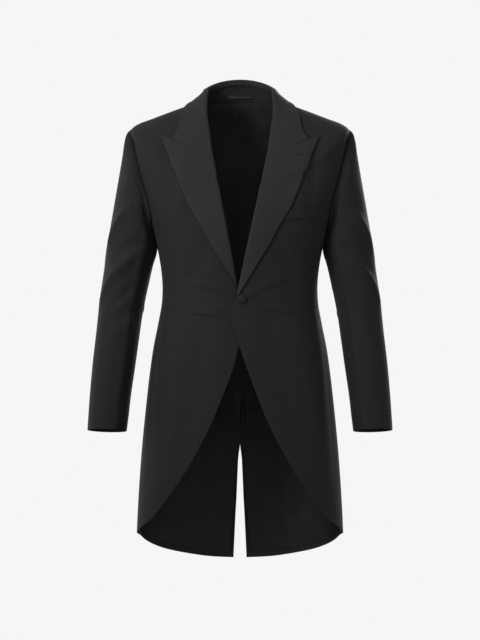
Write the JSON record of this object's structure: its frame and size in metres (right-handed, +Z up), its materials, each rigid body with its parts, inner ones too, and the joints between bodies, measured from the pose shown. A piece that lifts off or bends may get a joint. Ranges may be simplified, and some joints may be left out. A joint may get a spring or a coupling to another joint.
{
  "type": "morning coat",
  "caption": "Man's cutaway morning coat in black worsted with peaked lapels and one covered button, filled out as if worn.",
  "frame": {"origin": "the middle of the base of the neck, where the coat rests on the wearer's neck and shoulders", "axes": "+Z up, the front faces -Y, +X is the wearer's left"},
  "size_m": [0.652, 0.2558, 1.0492],
  "materials": {
    "worsted": "soft black worsted wool",
    "lapel_worsted": "the same worsted, pressed",
    "lining": "black satin lining",
    "button_cloth": "fine black cloth cover"
  },
  "bodies": {
    "root": {"forepart_left": "worsted", "side_body_left": "worsted", "skirt_left": "worsted", "back_left": "worsted", "top_sleeve_left": "worsted", "under_sleeve_left": "worsted", "lapel_left": "lapel_worsted", "back_lining_left": "lining", "skirt_lining_left": "lining", "forepart_right": "worsted", "side_body_right": "worsted", "skirt_right": "worsted", "back_right": "worsted", "top_sleeve_right": "worsted", "under_sleeve_right": "worsted", "lapel_right": "lapel_worsted", "back_lining_right": "lining", "skirt_lining_right": "lining", "collar_fall": "lapel_worsted", "collar_stand": "worsted", "breast_welt": "worsted", "hanger_loop": "lining", "front_button": "button_cloth"}
  },
  "joints": []
}
